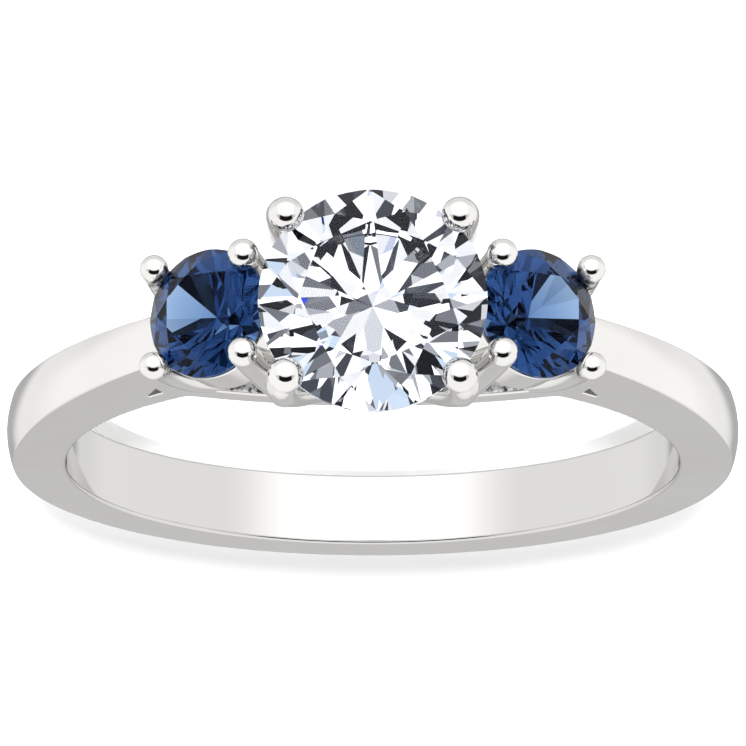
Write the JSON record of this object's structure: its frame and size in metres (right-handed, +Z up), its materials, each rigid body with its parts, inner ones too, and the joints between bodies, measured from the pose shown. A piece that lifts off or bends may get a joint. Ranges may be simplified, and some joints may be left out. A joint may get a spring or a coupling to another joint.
{
  "type": "three stone ring",
  "caption": "Finger ring with a round white stone between smaller round blue ones, in rounded claws on open rails, and a tapered shank with a domed outside.",
  "frame": {"origin": "centre of the finger hole, midway along its axis", "axes": "+Z up from the floor that the ring lies on, +Y from the stones to the back of the shank, +X to the left of the picture; the finger hole's axis leans 4.75 degrees from +Z towards +Y"},
  "size_m": [0.0198, 0.024, 0.0058],
  "materials": {
    "white_gold": "polished, rhodium plated",
    "white_stone": "faceted and polished, colourless",
    "blue_stone": "faceted and polished, deep blue"
  },
  "bodies": {
    "root": {"shank_and_setting": "white_gold", "center_stone": "white_stone", "left_side_stone": "blue_stone", "right_side_stone": "blue_stone"}
  },
  "joints": []
}
